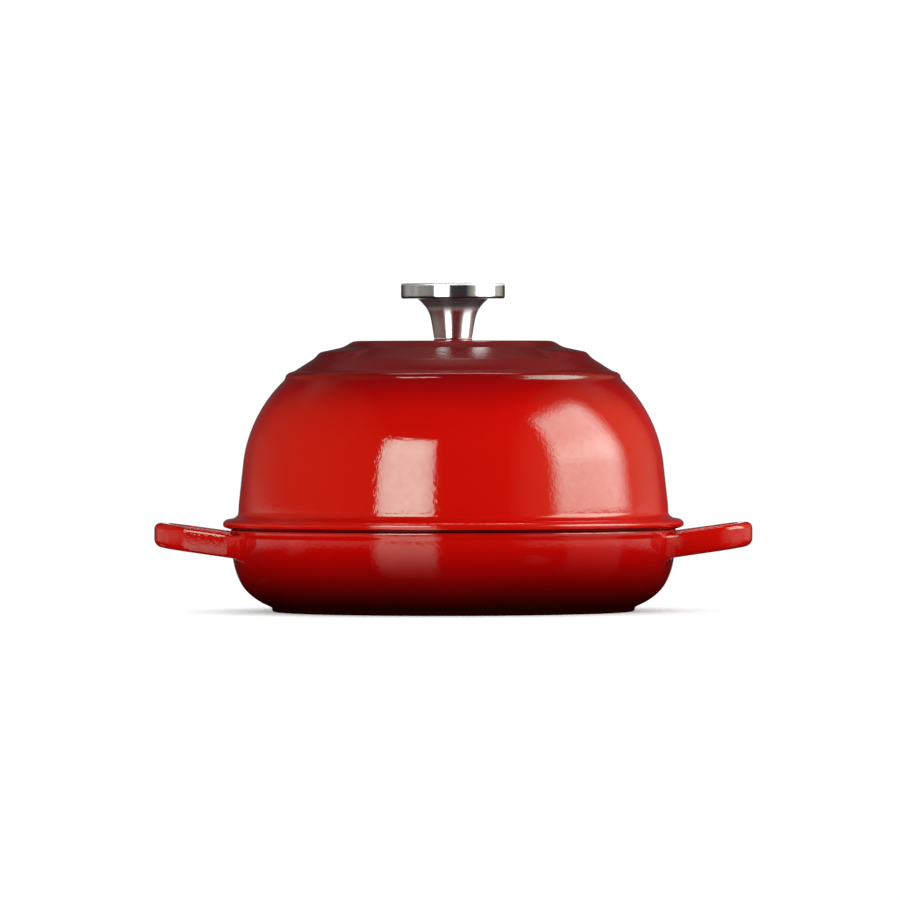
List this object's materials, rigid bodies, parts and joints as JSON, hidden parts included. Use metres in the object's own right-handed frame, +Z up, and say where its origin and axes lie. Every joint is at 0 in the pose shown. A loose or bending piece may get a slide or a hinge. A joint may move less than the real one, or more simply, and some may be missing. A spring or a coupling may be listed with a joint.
{
  "type": "cast iron bread pot",
  "caption": "Enamelled cast iron bread pot: a shallow round pan with loop handles under a tall domed lid with a flared steel knob, for baking a loaf in its own steam.",
  "frame": {"origin": "on the table, under the middle of the pan's foot", "axes": "+Z up along the pot's axis, +X through both handles, -Y is the side the picture shows"},
  "size_m": [0.3328, 0.2566, 0.1827],
  "materials": {
    "base_enamel": "gloss red enamel, near black at the foot",
    "lid_enamel": "gloss red enamel, burgundy at the crown",
    "satin_steel": "turned satin stainless steel",
    "polished_steel": "polished stainless steel",
    "screw_steel": "plain stainless steel",
    "washer_steel": "plain stainless steel"
  },
  "bodies": {
    "pan": {"base": "base_enamel"},
    "cover": {"lid": "lid_enamel", "flat_washer": "washer_steel"},
    "knob": {"knob_stem": "polished_steel", "knob_cap": "satin_steel"},
    "fastener": {"knob_screw": "screw_steel", "lock_washer": "washer_steel"}
  },
  "joints": [
    {"name": "lid_lift", "type": "slide", "parent": "pan", "child": "cover", "axis": [0, 0, 1], "range_m": [0, 0.15]},
    {"name": "screw_turn", "type": "hinge", "parent": "cover", "child": "fastener", "pos_m": [0, 0, 0.146], "axis": [0, 0, -1], "range_deg": [0, 3240]},
    {"name": "knob_rise", "type": "slide", "parent": "cover", "child": "knob", "axis": [0, 0, 1], "range_m": [0, 0.009]}
  ],
  "couplings": [
    {"joint": "screw_turn", "follows": "knob_rise", "rad_per_m": 6283.2}
  ]
}
